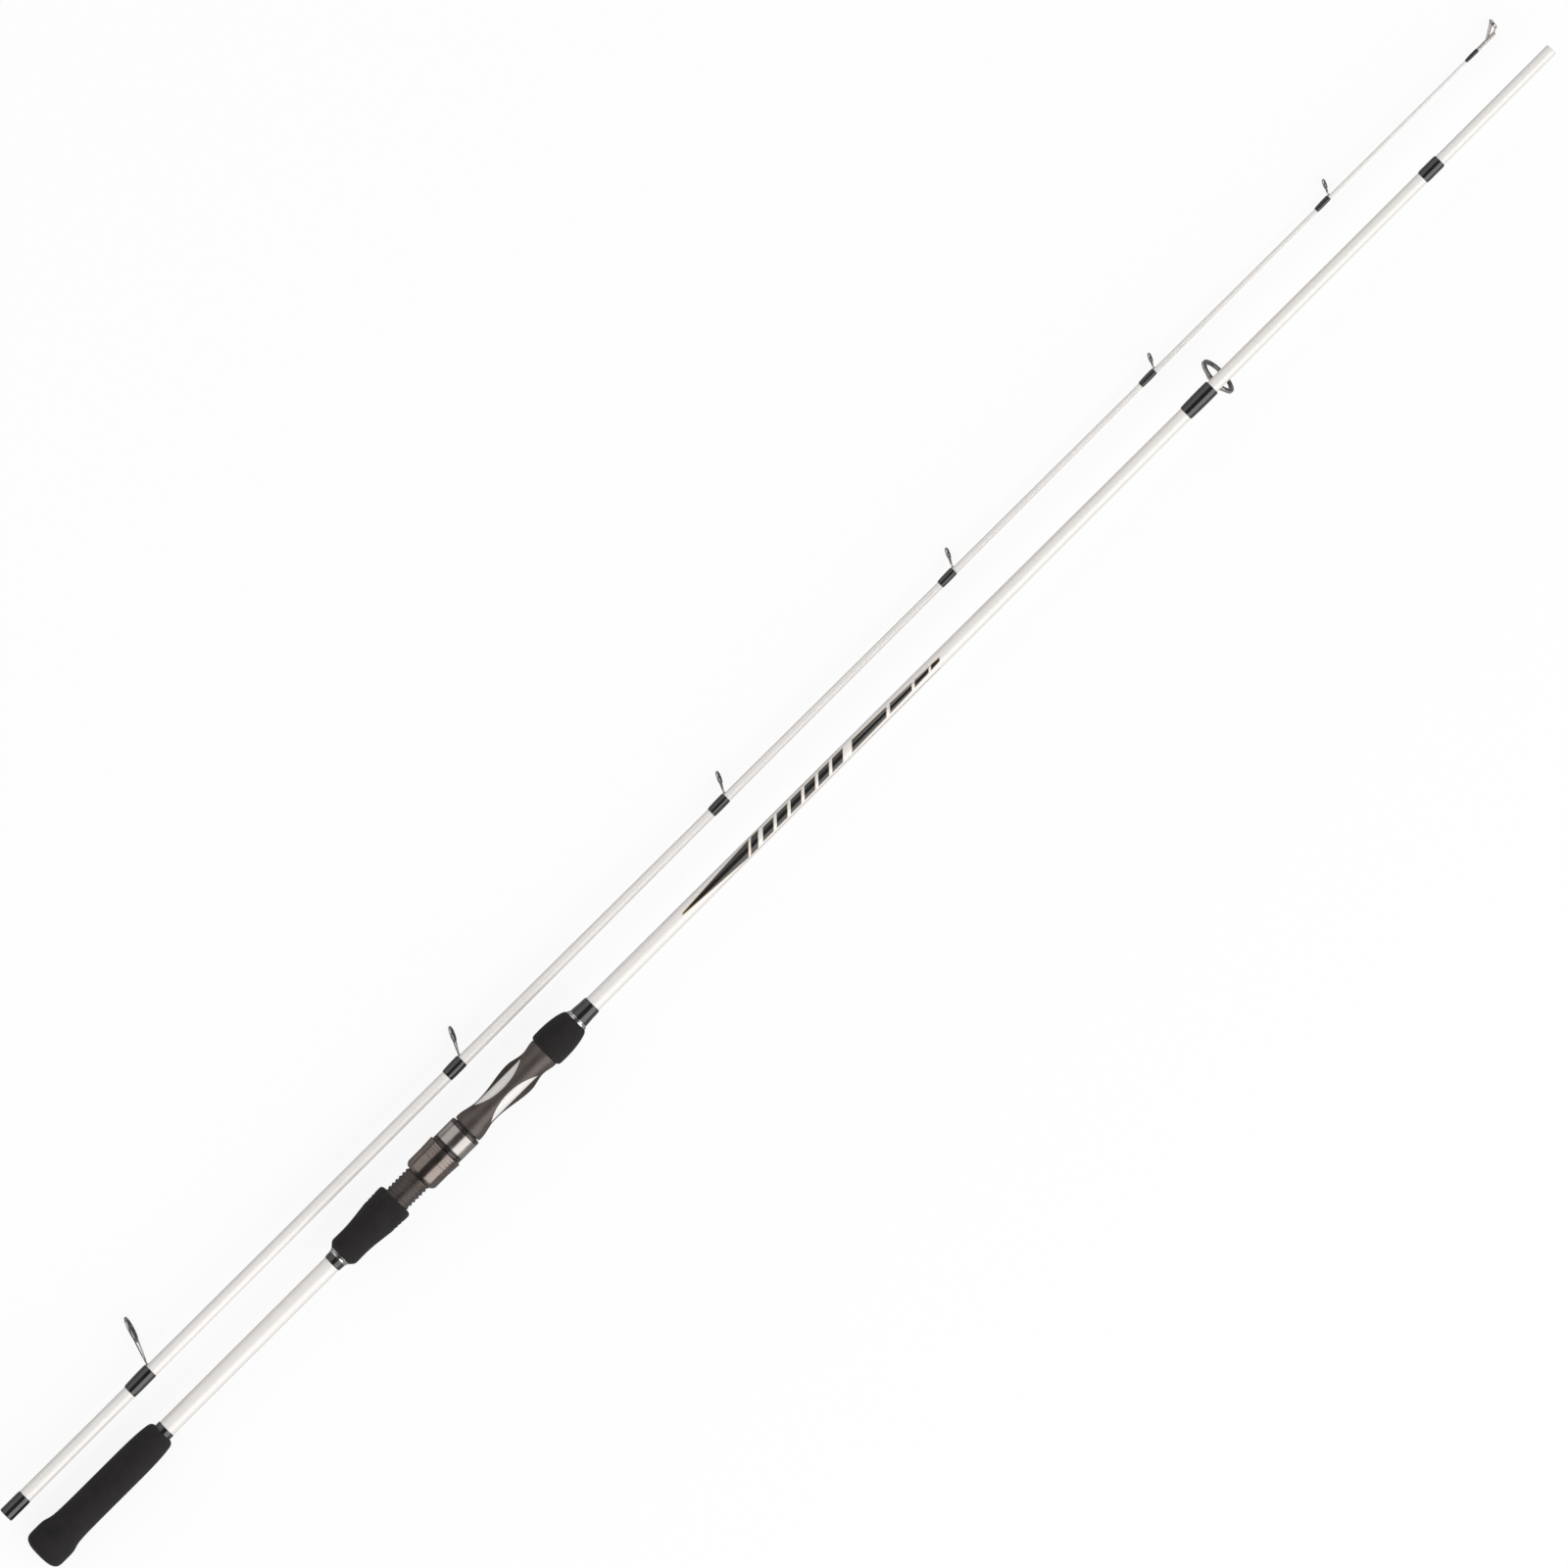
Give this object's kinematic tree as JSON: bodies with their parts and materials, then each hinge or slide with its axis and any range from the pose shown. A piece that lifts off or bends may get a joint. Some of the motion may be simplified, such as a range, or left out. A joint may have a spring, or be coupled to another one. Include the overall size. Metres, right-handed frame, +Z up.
{
  "type": "spinning fishing rod",
  "caption": "Spinning rod taken apart, butt and tip section side by side: white blanks, foam grips, skeleton reel seat with a screw-locked hood, ringed guides, ring tip-top.",
  "frame": {"origin": "middle of the part's box on the table, at Z = 0", "axes": "+X along both sections towards the tip, +Y from the butt section to the tip section, +Z up from the table; each section slopes by about a degree because it lies on its grip or first ring and on a further ring"},
  "size_m": [1.2558, 0.077, 0.042],
  "materials": {
    "white_blank": "gloss",
    "eva_foam": "matte",
    "gloss_black": "gloss",
    "seat_plastic": "satin",
    "liner_plastic": "matte",
    "arbor": "matte",
    "hood_metal": "satin",
    "trim_metal": "polished",
    "guide_steel": "polished",
    "ring_ceramic": "gloss"
  },
  "bodies": {
    "butt_section": {"butt_blank": "white_blank", "spigot_plug": "white_blank", "rear_grip": "eva_foam", "rear_grip_collar": "gloss_black", "seat_band": "gloss_black", "seat_trim_ring": "trim_metal", "seat_rear_grip": "eva_foam", "rear_arbor": "arbor", "window_sleeve": "white_blank", "front_arbor": "arbor", "reel_seat": "seat_plastic", "fixed_hood_liner": "liner_plastic", "foregrip": "eva_foam", "foregrip_trim_ring": "trim_metal", "foregrip_wrap": "gloss_black", "strip_wrap": "gloss_black", "strip_frame": "guide_steel", "strip_ring": "ring_ceramic", "ferrule_stop_wrap": "gloss_black"},
    "hood": {"thrust_washer": "liner_plastic", "retaining_ring": "guide_steel", "sliding_hood": "hood_metal", "hood_cover": "hood_metal", "hood_liner": "liner_plastic"},
    "lock_nut": {"lock_nut": "seat_plastic"},
    "tip_section": {"tip_blank": "white_blank", "ferrule_wrap": "gloss_black", "guide_2_wrap": "gloss_black", "guide_2_frame": "guide_steel", "guide_2_ring": "ring_ceramic", "guide_3_wrap": "gloss_black", "guide_3_frame": "guide_steel", "guide_3_ring": "ring_ceramic", "guide_4_wrap": "gloss_black", "guide_4_frame": "guide_steel", "guide_4_ring": "ring_ceramic", "guide_5_wrap": "gloss_black", "guide_5_frame": "guide_steel", "guide_5_ring": "ring_ceramic", "guide_6_wrap": "gloss_black", "guide_6_frame": "guide_steel", "guide_6_ring": "ring_ceramic", "guide_7_wrap": "gloss_black", "guide_7_frame": "guide_steel", "guide_7_ring": "ring_ceramic", "tiptop_wrap": "gloss_black", "tiptop_frame": "guide_steel", "tiptop_ring": "ring_ceramic"}
  },
  "joints": [
    {"name": "hood_slide", "type": "slide", "parent": "butt_section", "child": "hood", "axis": [-0.9998, 0, -0.0204], "range_m": [0, 0.0173]},
    {"name": "nut_spin", "type": "hinge", "parent": "hood", "child": "lock_nut", "pos_m": [-0.31162, -0.02553, 0.01932], "axis": [-0.9998, 0, -0.0204], "range_deg": [0, 2160]},
    {"name": "tip_lift", "type": "slide", "parent": "butt_section", "child": "tip_section", "axis": [0, 0, 1], "range_m": [0, 0.15]}
  ],
  "couplings": [
    {"joint": "hood_slide", "follows": "nut_spin", "m_per_rad": 0.00045837}
  ]
}
